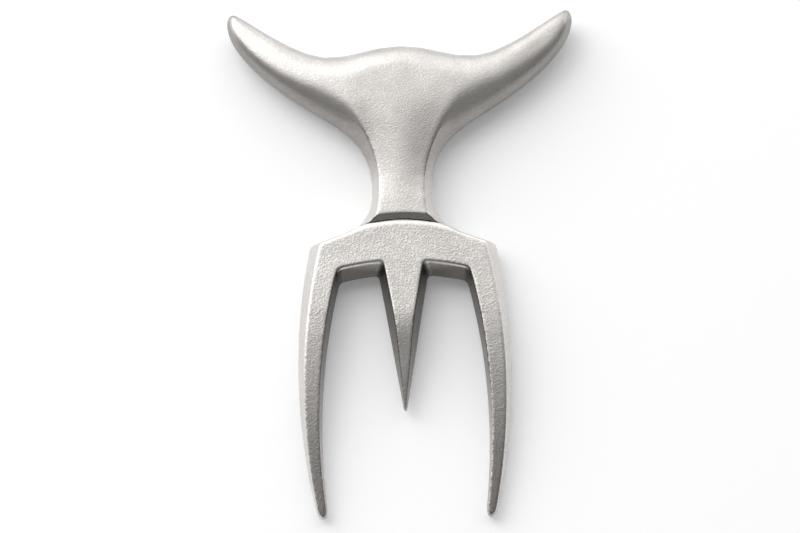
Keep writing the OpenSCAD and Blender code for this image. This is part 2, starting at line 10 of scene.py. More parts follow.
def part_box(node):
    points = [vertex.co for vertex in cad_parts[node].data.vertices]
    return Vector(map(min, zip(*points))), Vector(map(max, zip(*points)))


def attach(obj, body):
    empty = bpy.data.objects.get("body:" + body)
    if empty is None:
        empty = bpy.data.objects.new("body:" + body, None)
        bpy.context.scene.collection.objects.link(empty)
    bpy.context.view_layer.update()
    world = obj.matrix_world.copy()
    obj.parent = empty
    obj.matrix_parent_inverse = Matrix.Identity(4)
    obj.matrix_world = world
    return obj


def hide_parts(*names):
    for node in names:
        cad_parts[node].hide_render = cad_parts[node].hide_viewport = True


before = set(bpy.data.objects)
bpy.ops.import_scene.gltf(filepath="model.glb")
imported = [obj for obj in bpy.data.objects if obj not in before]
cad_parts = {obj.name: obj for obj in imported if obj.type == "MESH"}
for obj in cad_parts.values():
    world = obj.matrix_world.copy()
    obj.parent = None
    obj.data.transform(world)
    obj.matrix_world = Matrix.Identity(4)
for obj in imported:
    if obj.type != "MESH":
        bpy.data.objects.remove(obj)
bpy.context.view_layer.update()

bl_info = {
    "name": "Meat Fork Finish",
    "version": (1, 0, 0),
    "blender": (4, 5, 0),
    "location": "3D View > Sidebar > Meat Fork",
    "description": "Gives a meat fork's two castings their cast skin and sets them on a studio floor",
    "category": "Object",
}

MM = 0.001
BODY = "root"
PHOTO_WIDTH_PX = 800
SENSOR_WIDTH_MM = 36.0
WHITE = (1.0, 1.0, 1.0, 1.0)

# Names of the values that a casting's mesh holds for its material
FACE_ATTRIBUTE = "cast_face"
# The edge mask: the edges' colour is a painted highlight on the head and painted shade on the handle
EDGE_ATTRIBUTE = "edge_mask"
# Where shade is painted into the steel's colour: walls, groove, sides and tine tips
SHADE_PAINT_ATTRIBUTE = "painted_shade_mask"
# Where highlights are painted into the steel's colour, and the pits are made shallower: rim, bevels, slot
# lips and flanks
HIGHLIGHT_PAINT_ATTRIBUTE = "painted_highlight_mask"

# Making of the fine meshes
MERGE_DISTANCE = 0.001 * MM
SMOOTH_FACTOR = 0.5
EDGE_BLUR_PASSES = 5
# How level a surface is where a wall turns into a face
FACE_LEVEL = (0.88, 0.965)
GRAIN_DETAIL = 2.0
SWELL_DETAIL = 1.0

# Make-up of the blast grain
PIT_SMOOTHNESS = 0.6
FINE_RATIO = 1.7
FINE_SHARE = 0.3
FINE_DETAIL = 1.0
CLOUD_RATIO = 0.05
CLOUD_DETAIL = 3.0
TONE_RANGE = (0.3, 0.7)
# Share of the steel's brightness that is left at the bottom of a pit
PIT_TONE = 0.45
# Changes of roughness in the pits, on the grain between them and along the edges
PIT_ROUGHNESS = 0.06
GRAIN_ROUGHNESS = -0.05
EDGE_ROUGHNESS = -0.08

# How far a normal leans over where a wall is told from a face
WALL_LEAN = (0.3, 0.6)
# How far it leans on the rim and on the outer bevels, and how far it still points up on the bevels
RIM_LEAN = (0.1, 0.25)
BEVEL_LEAN = (0.35, 0.6)
BEVEL_LEVEL = (0.05, 0.25)
# How far it leans to the side on the flare's flanks
FLANK_LEAN = (0.4, 0.65)
# How level the handle's and the tines' fronts are
FRONT_LEVEL = (0.85, 0.95)
# How level the handle's sides are where they begin, and how far they may face the handle's top
SIDE_LEVEL = (0.45, 0.85)
SIDE_LEAN = (-0.1, 0.3)

FLOOR_ROUGHNESS = 0.9


# Node helpers


def set_input(tree, node, key, value):
    """Links a socket into a node's input, or sets the input to a plain value."""
    if isinstance(value, bpy.types.NodeSocket):
        tree.links.new(value, node.inputs[key])
    else:
        node.inputs[key].default_value = value


def add_node(tree, kind, inputs=None, **settings):
    """Adds a node, sets its properties, and sets or links its inputs."""
    node = tree.nodes.new(kind)
    for name, value in settings.items():
        setattr(node, name, value)
    for key, value in (inputs or {}).items():
        set_input(tree, node, key, value)
    return node


def math_node(tree, operation, a, b=0.0):
    """Puts out the result of one operation on two values."""
    return add_node(tree, "ShaderNodeMath", {0: a, 1: b}, operation=operation).outputs[0]


def vector_node(tree, operation, inputs, output):
    """Puts out the result of one operation on vectors."""
    return add_node(tree, "ShaderNodeVectorMath", inputs, operation=operation).outputs[output]


def noise_node(tree, place, scale, detail):
    """Puts out a noise from 0 to 1."""
    inputs = {"Vector": place, "Scale": scale, "Detail": detail}
    return add_node(tree, "ShaderNodeTexNoise", inputs).outputs[0]


def map_range(tree, value, low, high, to_low=0.0, to_high=1.0):
    """Puts out a value eased from one range into another."""
    node = add_node(
        tree,
        "ShaderNodeMapRange",
        {"Value": value, "From Min": low, "From Max": high, "To Min": to_low, "To Max": to_high},
        interpolation_type="SMOOTHSTEP",
    )
    return node.outputs["Result"]


def mix_colour(tree, factor, a, b):
    """Puts out a colour between two others."""
    factor_socket, a_socket, b_socket, result = 0, 6, 7, 2
    node = add_node(tree, "ShaderNodeMix", data_type="RGBA")
    set_input(tree, node, factor_socket, factor)
    set_input(tree, node, a_socket, a)
    set_input(tree, node, b_socket, b)
    return node.outputs[result]


def group_sockets(tree, inputs, outputs):
    """Gives a node group its named sockets, each with its kind."""
    for name, kind in inputs.items():
        tree.interface.new_socket(name=name, in_out="INPUT", socket_type="NodeSocket" + kind)
    for name, kind in outputs.items():
        tree.interface.new_socket(name=name, in_out="OUTPUT", socket_type="NodeSocket" + kind)


def opaque(colour):
    """A colour with full alpha."""
    return (*colour, 1.0)


# Cast skin: a node tree that roughens a casting's surface and notes where its faces and edges are


def cast_skin_tree():
    """Builds the geometry nodes that lay a sand-cast skin on a mesh."""
    tree = bpy.data.node_groups.new("Cast skin", "GeometryNodeTree")
    group_sockets(
        tree,
        {
            "Geometry": "Geometry",
            "Grain Size": "Float",
            "Grain Height": "Float",
            "Swell Size": "Float",
            "Swell Height": "Float",
            "Wall Share": "Float",
            "Edge Depth": "Float",
            "Material": "Material",
        },
        {"Geometry": "Geometry"},
    )
    given = tree.nodes.new("NodeGroupInput").outputs
    position = tree.nodes.new("GeometryNodeInputPosition").outputs["Position"]
    normal = tree.nodes.new("GeometryNodeInputNormal").outputs["Normal"]

    upright = add_node(tree, "ShaderNodeSeparateXYZ", {"Vector": normal}).outputs["Z"]
    face = map_range(tree, math_node(tree, "ABSOLUTE", upright), *FACE_LEVEL)

    blurred = add_node(
        tree,
        "GeometryNodeBlurAttribute",
        {"Value": position, "Iterations": EDGE_BLUR_PASSES},
        data_type="FLOAT_VECTOR",
    ).outputs["Value"]
    standing = vector_node(tree, "SUBTRACT", {0: position, 1: blurred}, "Vector")
    standing = vector_node(tree, "DOT_PRODUCT", {0: standing, 1: normal}, "Value")
    edge = map_range(tree, standing, 0.0, given["Edge Depth"])

    shape = given["Geometry"]
    for name, value in ((FACE_ATTRIBUTE, face), (EDGE_ATTRIBUTE, edge)):
        shape = add_node(
            tree,
            "GeometryNodeStoreNamedAttribute",
            {"Geometry": shape, "Name": name, "Value": value},
            data_type="FLOAT",
            domain="POINT",
        ).outputs["Geometry"]

    def relief(size, height, detail):
        noise = noise_node(tree, position, math_node(tree, "DIVIDE", 1.0, size), detail)
        centred = math_node(tree, "SUBTRACT", noise, 0.5)
        return math_node(tree, "MULTIPLY", centred, math_node(tree, "MULTIPLY", height, 2.0))

    coverage = map_range(tree, face, 0.0, 1.0, given["Wall Share"], 1.0)
    grain = relief(given["Grain Size"], given["Grain Height"], GRAIN_DETAIL)
    swell = relief(given["Swell Size"], given["Swell Height"], SWELL_DETAIL)
    lift = math_node(tree, "ADD", math_node(tree, "MULTIPLY", grain, coverage), swell)
    offset = vector_node(tree, "SCALE", {0: normal, "Scale": lift}, "Vector")

    for kind, inputs in (
        ("GeometryNodeSetPosition", {"Offset": offset}),
        ("GeometryNodeSetShadeSmooth", {}),
        ("GeometryNodeRealizeInstances", {}),
        ("GeometryNodeSetMaterial", {"Material": given["Material"]}),
    ):
        shape = add_node(tree, kind, {"Geometry": shape, **inputs}).outputs["Geometry"]
    add_node(tree, "NodeGroupOutput", {"Geometry": shape})
    return tree


# Materials


def blast_grain_group():
    """Builds the shared grain: a height for the bump, and a fine and a broad change of tone."""
    tree = bpy.data.node_groups.new("Blast grain", "ShaderNodeTree")
    group_sockets(
        tree,
        {"Vector": "Vector", "Pit Size": "Float", "Pit Depth": "Float"},
        {"Height": "Float", "Tone": "Float", "Cloud": "Float"},
    )
    given = tree.nodes.new("NodeGroupInput").outputs
    place = given["Vector"]
    scale = math_node(tree, "DIVIDE", 1.0, given["Pit Size"])
    pits = add_node(
        tree,
        "ShaderNodeTexVoronoi",
        {"Vector": place, "Scale": scale, "Smoothness": PIT_SMOOTHNESS},
        feature="SMOOTH_F1",
    ).outputs["Distance"]
    fine = noise_node(tree, place, math_node(tree, "MULTIPLY", scale, FINE_RATIO), FINE_DETAIL)
    fine = math_node(tree, "MULTIPLY", fine, FINE_SHARE)
    cloud = noise_node(tree, place, math_node(tree, "MULTIPLY", scale, CLOUD_RATIO), CLOUD_DETAIL)
    height = math_node(tree, "ADD", math_node(tree, "MULTIPLY", pits, given["Pit Depth"]), fine)
    tone = math_node(tree, "ADD", math_node(tree, "MULTIPLY", pits, 1.0 - FINE_SHARE), fine)
    add_node(
        tree,
        "NodeGroupOutput",
        {
            "Height": height,
            "Tone": map_range(tree, tone, *TONE_RANGE),
            "Cloud": map_range(tree, cloud, *TONE_RANGE),
        },
    )
    return tree


def shared(collection, name, make):
    """A data block by name, made on first use."""
    return collection.get(name) or make()


def new_material(name):
    """A new node material, with its tree and its shader."""
    material = bpy.data.materials.new(name)
    material.use_nodes = True
    tree = material.node_tree
    return material, tree, tree.nodes["Principled BSDF"]


def grain_nodes(tree, place, pit_size, pit_depth):
    """Places the shared grain in a material."""
    group = shared(bpy.data.node_groups, "Blast grain", blast_grain_group)
    inputs = {"Vector": place, "Pit Size": pit_size, "Pit Depth": pit_depth}
    return add_node(tree, "ShaderNodeGroup", inputs, node_tree=group).outputs


def feed_steel(tree, shader, base, rough, height, strength, depth):
    """Makes a shader a metal with the given colour, roughness and relief."""
    inputs = {"Height": height, "Strength": strength, "Distance": depth}
    bump = add_node(tree, "ShaderNodeBump", inputs)
    tree.links.new(base, shader.inputs["Base Color"])
    tree.links.new(rough, shader.inputs["Roughness"])
    tree.links.new(bump.outputs["Normal"], shader.inputs["Normal"])
    shader.inputs["Metallic"].default_value = 1.0


def blasted_steel(name, settings):
    """A bead-blasted cast steel: pitted faces, smoother walls, edges with painted highlight or shade,
    painted shade and painted highlights.
    """
    material, tree, shader = new_material(name)
    place = tree.nodes.new("ShaderNodeTexCoord").outputs["Object"]
    face, edge, dark, bright = (
        add_node(tree, "ShaderNodeAttribute", attribute_name=attribute).outputs["Fac"]
        for attribute in (FACE_ATTRIBUTE, EDGE_ATTRIBUTE, SHADE_PAINT_ATTRIBUTE, HIGHLIGHT_PAINT_ATTRIBUTE)
    )
    pit_depth = map_range(tree, face, 0.0, 1.0, settings.wall_share, 1.0)
    pit_depth = math_node(tree, "MULTIPLY", pit_depth, math_node(tree, "SUBTRACT", 1.0, bright))
    grain = grain_nodes(tree, place, settings.pit_size, pit_depth)

    base = mix_colour(tree, grain["Cloud"], opaque(settings.shade), opaque(settings.colour))
    pit = math_node(tree, "MULTIPLY", math_node(tree, "SUBTRACT", 1.0, grain["Tone"]), settings.speck)
    edge_paint = math_node(tree, "MULTIPLY", edge, settings.edge_paint_share)
    pit_colour = [PIT_TONE * part for part in settings.colour]
    # Mixed in on top of the pits: the edges' painted highlight or shade, the painted highlights and the
    # painted shade
    for factor, colour in (
        (pit, pit_colour),
        (edge_paint, settings.edge_paint_colour),
        (bright, settings.painted_highlight_colour),
        (dark, settings.painted_shade_colour),
    ):
        base = mix_colour(tree, factor, base, opaque(colour))

    in_pits = settings.roughness + PIT_ROUGHNESS
    between_pits = settings.roughness + GRAIN_ROUGHNESS
    rough = map_range(tree, grain["Tone"], 0.0, 1.0, in_pits, between_pits)
    rough = math_node(tree, "ADD", rough, math_node(tree, "MULTIPLY", edge, EDGE_ROUGHNESS))
    feed_steel(tree, shader, base, rough, grain["Height"], settings.bump, settings.pit_height)
    return material


def ground_steel(name, settings):
    """Steel ground flush: fine grinding lines and a little staining."""
    material, tree, shader = new_material(name)
    place = tree.nodes.new("ShaderNodeTexCoord").outputs["Object"]
    grain = grain_nodes(tree, place, settings.stain_size, settings.stain_depth)
    inputs = {"Vector": place, "Scale": 1.0 / settings.line_pitch, "Distortion": settings.line_wander}
    lines = add_node(tree, "ShaderNodeTexWave", inputs).outputs["Fac"]
    base = mix_colour(tree, grain["Cloud"], opaque(settings.shade), opaque(settings.colour))
    in_stains = settings.roughness + settings.roughness_change
    between_stains = settings.roughness - settings.roughness_change
    rough = map_range(tree, grain["Tone"], 0.0, 1.0, in_stains, between_stains)
    height = math_node(tree, "ADD", grain["Height"], lines)
    feed_steel(tree, shader, base, rough, height, settings.bump, settings.line_depth)
    return material


# Meshes


def take_result(obj):
    """Replaces an object's mesh by its evaluated one and removes its modifiers."""
    bpy.context.view_layer.update()
    graph = bpy.context.evaluated_depsgraph_get()
    mesh = bpy.data.meshes.new_from_object(obj.evaluated_get(graph), depsgraph=graph)
    old = obj.data
    obj.modifiers.clear()
    obj.data = mesh
    bpy.data.meshes.remove(old)


def node_copy(node, name):
    """A merged copy of a CAD node as a new object."""
    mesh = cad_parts[node].data.copy()
    mesh.name = name
    mesh.materials.clear()
    shape = bmesh.new()
    shape.from_mesh(mesh)
    bmesh.ops.remove_doubles(shape, verts=shape.verts, dist=MERGE_DISTANCE)
    shape.to_mesh(mesh)
    shape.free()
    obj = bpy.data.objects.new(name, mesh)
    bpy.context.scene.collection.objects.link(obj)
    return obj


def ease(low, high, values):
    """Smooth steps from 0 at low to 1 at high."""
    t = np.clip((values - low) / (high - low), 0.0, 1.0)
    return t * t * (3.0 - 2.0 * t)


def vertex_vectors(mesh, name):
    """The places or the normals of a mesh's vertices, one row for each."""
    values = np.empty(len(mesh.vertices) * 3)
    mesh.vertices.foreach_get(name, values)
    return values.reshape(-1, 3)


def soften(obj, passes, weight_of):
    """Smooths a fine mesh, as far as the weight of each place allows."""
    weights = weight_of(vertex_vectors(obj.data, "co"), vertex_vectors(obj.data, "normal"))
    weights = np.round(weights, 2)
    group = obj.vertex_groups.new(name="soften")
    for weight in np.unique(weights):
        group.add(np.nonzero(weights == weight)[0].tolist(), float(weight), "REPLACE")
    smooth = obj.modifiers.new("Soften", "SMOOTH")
    smooth.factor = SMOOTH_FACTOR
    smooth.iterations = passes
    smooth.vertex_group = group.name
    take_result(obj)
    obj.vertex_groups.clear()


def note(mesh, name, value_of):
    """Stores a value on each vertex, from its place and its normal."""
    values = value_of(vertex_vectors(mesh, "co"), vertex_vectors(mesh, "normal"))
    mesh.attributes.new(name, "FLOAT", "POINT").data.foreach_set("value", values.astype(np.float32))


def casting(node, name, slot, settings, weight_of, marks):
    """Makes a casting's visible piece from its CAD node: a fine mesh with soft edges and a cast skin."""
    obj = node_copy(node, name)
    fine = obj.modifiers.new("Fine mesh", "REMESH")
    fine.mode = "VOXEL"
    fine.voxel_size = settings.mesh_pitch
    take_result(obj)
    soften(obj, settings.soft_passes, weight_of)
    for mark, value_of in marks.items():
        note(obj.data, mark, value_of)

    tree = shared(bpy.data.node_groups, "Cast skin", cast_skin_tree)
    skin = obj.modifiers.new("Cast skin", "NODES")
    skin.node_group = tree
    values = {
        "Grain Size": settings.grain_size,
        "Grain Height": settings.grain_height,
        "Swell Size": settings.swell_size,
        "Swell Height": settings.swell_height,
        "Wall Share": settings.wall_share,
        "Edge Depth": settings.edge_depth,
        "Material": blasted_steel(slot, settings),
    }
    for socket in tree.interface.items_tree:
        if socket.in_out == "INPUT" and socket.name in values:
            skin[socket.identifier] = values[socket.name]
    take_result(obj)

    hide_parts(node)
    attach(obj, BODY)
    return obj


# Settings


def length_setting(name, description, default):
    """A length in metres."""
    return FloatProperty(name=name, description=description, default=default, unit="LENGTH")


def reach_setting(name, description, default):
    """The two lengths between which something comes in."""
    return FloatVectorProperty(name=name, description=description, default=default, size=2, unit="LENGTH")


def share_setting(name, description, default):
    """A share from 0 to 1."""
    return FloatProperty(name=name, description=description, default=default, subtype="FACTOR")


def colour_setting(name, description, default):
    """A colour."""
    return FloatVectorProperty(name=name, description=description, default=default, subtype="COLOR")


def place_setting(name, description, default):
    """A place in metres."""
    return FloatVectorProperty(name=name, description=description, default=default, unit="LENGTH")


def level_setting(name, description, default):
    """A plain number, such as a brightness."""
    return FloatProperty(name=name, description=description, default=default)


class CastingSettings:
    """What both castings share: the slow waves of their skin, and the colours of their painted shade and
    painted highlights.
    """

    swell_size: length_setting("Swell Size", "Width of the slow waves in the cast surface", 9.0 * MM)
    swell_height: length_setting("Swell Height", "Height of the slow waves in the cast surface", 0.04 * MM)
    # Colour of the painted shade on walls, grooves, sides and tine fronts
    painted_shade_colour: colour_setting("Dark Colour", "Cast skin that blasting left", (0.175, 0.164, 0.153))
    # Colour of the painted highlights on rims, bevels, slot lips and flanks
    painted_highlight_colour: colour_setting("Bright Colour", "Steel that is rubbed bright", (0.86, 0.84, 0.81))


class HandleSettings(CastingSettings, bpy.types.PropertyGroup):
    """Sizes and colours of the handle's casting"""

    mesh_pitch: length_setting("Mesh Pitch", "Size of the mesh's faces", 0.42 * MM)
    soft_passes: IntProperty(name="Soft Passes", description="How often the form is smoothed", default=30)
    foot_hold: share_setting("Foot Hold", "Share of the smoothing that the crisp foot gets", 0.2)
    soft_reach: reach_setting("Soft Reach", "Heights at which the form turns soft", (28 * MM, 46 * MM))
    flare_soft: share_setting("Flare Soft", "Share of the smoothing that the flared foot gets", 0.6)
    flare_start: reach_setting("Flare Start", "Heights at which the flare begins", (6 * MM, 9 * MM))
    flare_end: reach_setting("Flare End", "Heights at which the flare ends", (14 * MM, 22 * MM))
    grain_size: length_setting("Grain Size", "Width of the cast grain", 1.2 * MM)
    grain_height: length_setting("Grain Height", "Height of the cast grain", 0.012 * MM)
    wall_share: share_setting("Wall Share", "Share of the grain that the sides have", 0.8)
    pit_size: length_setting("Pit Size", "Width of the blasted pits", 0.56 * MM)
    pit_height: length_setting("Pit Height", "Depth of the blasted pits", 0.05 * MM)
    bump: share_setting("Bump", "Strength of the pits", 0.8)
    speck: share_setting("Speck", "How dark the pits are", 0.28)
    roughness: share_setting("Roughness", "Roughness of the blasted steel", 0.37)
    colour: colour_setting("Colour", "Colour of the steel", (0.66, 0.635, 0.61))
    shade: colour_setting("Shade", "Colour of the steel's duller patches", (0.58, 0.555, 0.53))
    # The handle's edges get painted shade: a dull dark colour that takes the light off them
    edge_depth: length_setting("Edge Depth", "How far an edge stands out where it is dull", 0.1 * MM)
    edge_paint_share: share_setting("Edge Change", "How far the edges differ from the faces", 0.7)
    edge_paint_colour: colour_setting("Edge Colour", "Colour of the dull edges", (0.32, 0.305, 0.29))
    # Painted highlight on the flare's flanks near the foot
    flank_highlight_paint: share_setting("Flank Rub", "How far the flare's flanks are rubbed bright", 0.5)
    flank_reach: reach_setting("Flank Reach", "Heights at which that rub ends", (14 * MM, 30 * MM))
    # Painted shade on the groove's wall and on the sides
    groove_shade_paint: share_setting("Groove Dark", "Share of the dark skin that is left in the groove", 0.35)
    groove_reach: reach_setting("Groove Reach", "Heights at which the groove ends", (6 * MM, 10 * MM))
    side_shade_paint: share_setting("Side Dark", "Share of the dark skin that is left on the sides", 0.55)
    side_reach: reach_setting("Side Reach", "Heights at which the sides turn dark", (16 * MM, 40 * MM))


class HeadSettings(CastingSettings, bpy.types.PropertyGroup):
    """Sizes and colours of the head's casting"""

    mesh_pitch: length_setting("Mesh Pitch", "Size of the mesh's faces", 0.39 * MM)
    soft_passes: IntProperty(name="Soft Passes", description="How often the form is smoothed", default=7)
    grain_size: length_setting("Grain Size", "Width of the cast grain", 0.85 * MM)
    grain_height: length_setting("Grain Height", "Height of the cast grain", 0.012 * MM)
    wall_share: share_setting("Wall Share", "Share of the grain that the walls have", 0.25)
    pit_size: length_setting("Pit Size", "Width of the cast pits", 0.62 * MM)
    pit_height: length_setting("Pit Height", "Depth of the cast pits", 0.07 * MM)
    bump: share_setting("Bump", "Strength of the pits", 0.9)
    speck: share_setting("Speck", "How dark the pits are", 0.38)
    roughness: share_setting("Roughness", "Roughness of the cast steel", 0.37)
    colour: colour_setting("Colour", "Colour of the steel", (0.68, 0.655, 0.63))
    shade: colour_setting("Shade", "Colour of the steel's duller patches", (0.605, 0.58, 0.555))
    # The head's edges get a painted highlight
    edge_depth: length_setting("Edge Depth", "How far an edge stands out where it is bright", 0.12 * MM)
    edge_paint_share: share_setting("Edge Change", "How far the edges differ from the faces", 0.15)
    edge_paint_colour: colour_setting("Edge Colour", "Colour of the bright edges", (0.86, 0.84, 0.81))
    # Painted highlights on the rim, the outer bevels and the slots' lips
    rim_highlight_paint: share_setting("Rim Rub", "How far the rim is rubbed bright", 0.4)
    rim_reach: reach_setting("Rim Reach", "Depths below the front where the rub ends", (0.8 * MM, 1.4 * MM))
    bevel_highlight_paint: share_setting("Bevel Rub", "How far the outer bevels are rubbed bright", 0.4)
    bevel_reach: reach_setting("Bevel Reach", "Widths from which the bevels are rubbed", (20 * MM, 24 * MM))
    lip_highlight_paint: share_setting("Lip Rub", "How far the lips of the slots' tops are rubbed bright", 1.0)
    lip_start: reach_setting("Lip Start", "Depths below the front where lips begin", (0.4 * MM, 0.7 * MM))
    lip_end: reach_setting("Lip End", "Depths below the front where lips end", (1.0 * MM, 1.5 * MM))
    # Where painted shade lies: the slots' walls and the tines' inner walls and sides, fading towards the
    # tips, and the fronts towards the tips
    middle_reach: reach_setting("Middle Reach", "Widths at which the middle tine ends", (9 * MM, 12 * MM))
    outer_reach: reach_setting("Outer Reach", "Widths at which the outer tines begin", (15 * MM, 20 * MM))
    wall_reach: reach_setting("Wall Reach", "Depths below the rim where dark walls begin", (2 * MM, 6 * MM))
    wall_end_shade_paint: share_setting("Dark Low", "Share of the dark skin that is left on the walls' ends", 0.25)
    fade_reach: reach_setting("Fade Reach", "Depths between which the dark walls fade", (20 * MM, 75 * MM))
    tip_shade_paint: share_setting("Tip Dark", "Share of the dark skin that is left on the tips' fronts", 0.65)
    tip_reach: reach_setting("Tip Reach", "Depths between which the fronts turn dark", (35 * MM, 80 * MM))


class PinSettings(bpy.types.PropertyGroup):
    """Looks of the cross pins"""

    stain_size: length_setting("Stain Size", "Width of the stains", 0.5 * MM)
    stain_depth: share_setting("Stain Depth", "Depth of the stains", 0.5)
    line_pitch: length_setting("Line Pitch", "Distance between grinding lines", 0.3 * MM)
    line_depth: length_setting("Line Depth", "Depth of the grinding lines", 0.02 * MM)
    line_wander: level_setting("Line Wander", "How far the grinding lines wander", 0.6)
    bump: share_setting("Bump", "Strength of the lines and stains", 0.3)
    roughness: share_setting("Roughness", "Roughness of the ground steel", 0.34)
    roughness_change: share_setting("Roughness Change", "How far stains change the roughness", 0.05)
    colour: colour_setting("Colour", "Colour of the steel", (0.6, 0.58, 0.56))
    shade: colour_setting("Shade", "Colour of the stains", (0.5, 0.48, 0.46))


class StudioSettings(bpy.types.PropertyGroup):
    """Camera, floor and light"""

    tilt: FloatProperty(
        name="Tilt",
        description="Angle of the camera from straight above",
        default=math.radians(17.0),
        subtype="ANGLE",
    )
    roll: FloatProperty(
        name="Roll",
        description="Turn of the fork in the picture",
        default=math.radians(0.9),
        subtype="ANGLE",
    )
    distance: length_setting("Distance", "Distance of the camera", 1.0)
    focal_px: level_setting("Focal Length", "Focal length in the photograph's pixels", 2752.0)
    aim: place_setting("Aim", "Point at the picture's middle", (-1.2 * MM, -1.2 * MM, 0.0))
    floor_size: length_setting("Floor Size", "Width of the floor", 8.0)
    floor_colour: colour_setting("Floor Colour", "Colour of the floor", (0.93, 0.93, 0.935))
    floor_glow: level_setting("Floor Glow", "Lift of the floor's white in the picture", 0.135)
    key_power: FloatProperty(
        name="Key Power",
        description="Power of the key lamp",
        default=7.0,
        unit="POWER",
    )
    key_size: length_setting("Key Size", "Width of the key lamp", 1.1)
    key_place: place_setting("Key Place", "Place of the key lamp", (-0.75, 0.75, 0.75))
    room_dark: level_setting("Room Dark", "Brightness of the room's dark side", 0.27)
    room_light: level_setting("Room Light", "Brightness of the room's bright side", 1.55)
    room_edge: FloatVectorProperty(
        name="Room Edge",
        description="Where the room turns from dark to bright",
        default=(0.03, 0.37),
        size=2,
    )
    side_lean: level_setting("Side Lean", "How far the bright end leans over to the left", 0.16)
    side_reach: level_setting("Side Reach", "How far from the middle the lean grows", 0.19)


class MeatForkSettings(bpy.types.PropertyGroup):
    """All settings of the fork"""

    handle: PointerProperty(type=HandleSettings)
    head: PointerProperty(type=HeadSettings)
    pins: PointerProperty(type=PinSettings)
    studio: PointerProperty(type=StudioSettings)


# Operators


class MEATFORK_OT_handle(bpy.types.Operator):
    """Makes the handle's casting, smooth along the horns and crisper along the neck's flanks"""

    bl_idname = "meatfork.handle"
    bl_label = "Handle"

    def execute(self, context):
        settings = context.scene.meat_fork.handle
        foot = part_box("handle")[0].y

        def weight(places, normals):
            height = places[:, 1] - foot
            above_groove = ease(*settings.flare_start, height)
            flare = settings.flare_soft * above_groove * (1.0 - ease(*settings.flare_end, height))
            face = above_groove * ease(*FRONT_LEVEL, normals[:, 2])
            soft = np.maximum(ease(*settings.soft_reach, height), np.maximum(flare, face))
            return np.maximum(settings.foot_hold, soft)

        # Painted shade on the groove's wall, which faces down, and on the sides that turn away from the
        # front
        def dark(places, normals):
            height = places[:, 1] - foot
            groove = (1.0 - ease(*settings.groove_reach, height)) * ease(*WALL_LEAN, -normals[:, 1])
            side = (1.0 - ease(*SIDE_LEVEL, normals[:, 2])) * (1.0 - ease(*SIDE_LEAN, normals[:, 1]))
            side *= ease(*settings.side_reach, height)
            return np.maximum(settings.groove_shade_paint * groove, settings.side_shade_paint * side)

        # Painted highlight on the flare's flanks near the foot
        def bright(places, normals):
            flank = ease(*FLANK_LEAN, np.abs(normals[:, 0])) * ease(*BEVEL_LEVEL, normals[:, 2])
            return settings.flank_highlight_paint * flank * (1.0 - ease(*settings.flank_reach, places[:, 1] - foot))

        marks = {SHADE_PAINT_ATTRIBUTE: dark, HIGHLIGHT_PAINT_ATTRIBUTE: bright}
        casting("handle", "handle_casting", "handle_steel", settings, weight, marks)
        return {"FINISHED"}


class MEATFORK_OT_head(bpy.types.Operator):
    """Makes the head's casting: the yoke, its tines and the tang"""

    bl_idname = "meatfork.head"
    bl_label = "Head"

    def execute(self, context):
        settings = context.scene.meat_fork.head
        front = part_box("fork_head")[1].z

        def weight(places, normals):
            return np.ones(len(places))

        def outward(places, normals):
            return normals[:, 0] * np.sign(places[:, 0])

        # Painted highlight along the lips of the slots' tops, which also takes the painted shade off them
        def lip(places, normals):
            below = front - places[:, 2]
            band = ease(*settings.lip_start, below) * (1.0 - ease(*settings.lip_end, below))
            return settings.lip_highlight_paint * band * ease(*WALL_LEAN, -normals[:, 1])

        # Painted shade on the walls of the slots and the tines, and on the tines' fronts towards the tips
        def dark(places, normals):
            width = np.abs(places[:, 0])
            depth = -places[:, 1]
            out = outward(places, normals)
            slot_top = ease(*WALL_LEAN, -normals[:, 1])
            outer_inside = ease(*settings.outer_reach, width) * ease(*WALL_LEAN, -out)
            middle_side = (1.0 - ease(*settings.middle_reach, width)) * ease(*WALL_LEAN, out)
            walls = np.maximum(np.maximum(slot_top, outer_inside), middle_side)
            walls *= ease(*settings.wall_reach, depth) * (1.0 - lip(places, normals))
            walls *= 1.0 - (1.0 - settings.wall_end_shade_paint) * ease(*settings.fade_reach, depth)
            fronts = ease(*settings.tip_reach, depth) * ease(*FRONT_LEVEL, normals[:, 2])
            return np.maximum(walls, settings.tip_shade_paint * fronts)

        # Painted highlights on the rim, the outer bevels and the slots' lips
        def bright(places, normals):
            rim = ease(*RIM_LEAN, normals[:, 1]) * (1.0 - ease(*settings.rim_reach, front - places[:, 2]))
            bevel = ease(*settings.bevel_reach, np.abs(places[:, 0]))
            bevel *= ease(*BEVEL_LEAN, outward(places, normals)) * ease(*BEVEL_LEVEL, normals[:, 2])
            highlight = np.maximum(settings.rim_highlight_paint * rim, settings.bevel_highlight_paint * bevel)
            return np.maximum(highlight, lip(places, normals))

        marks = {SHADE_PAINT_ATTRIBUTE: dark, HIGHLIGHT_PAINT_ATTRIBUTE: bright}
        casting("fork_head", "head_casting", "head_steel", settings, weight, marks)
        return {"FINISHED"}


class MEATFORK_OT_pins(bpy.types.Operator):
    """Gives the two cross pins their ground steel"""

    bl_idname = "meatfork.pins"
    bl_label = "Pins"

    def execute(self, context):
        steel = ground_steel("pin_steel_ground", context.scene.meat_fork.pins)
        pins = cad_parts["tang_pins"]
        if not pins.material_slots:
            raise RuntimeError("the pins have no material slot")
        for slot in pins.material_slots:
            slot.material = steel
        return {"FINISHED"}


